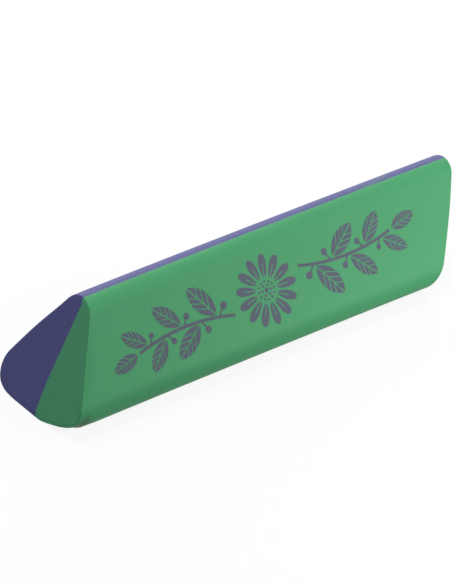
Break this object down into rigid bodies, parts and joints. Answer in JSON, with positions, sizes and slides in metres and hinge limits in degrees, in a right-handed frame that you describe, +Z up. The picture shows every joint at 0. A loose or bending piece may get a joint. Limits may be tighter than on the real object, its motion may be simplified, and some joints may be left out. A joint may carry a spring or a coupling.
{
  "type": "bar eraser",
  "caption": "Triangular bar eraser in two bonded colours, with rounded long edges, gently swelling flanks and both ends cut on the same slant.",
  "frame": {"origin": "middle of the bounding box, on the base that the eraser lies on", "axes": "+X along the bar, towards the end where the ridge overhangs; -Y out of the green flank; +Y out of the blue flank; +Z up to the ridge"},
  "size_m": [0.0678, 0.0164, 0.0149],
  "materials": {
    "green_vinyl": "matte moulded",
    "blue_vinyl": "matte moulded",
    "print_ink": "printed film, only on the dressed model"
  },
  "bodies": {
    "root": {"green_half": "green_vinyl", "blue_half": "blue_vinyl"}
  },
  "joints": []
}
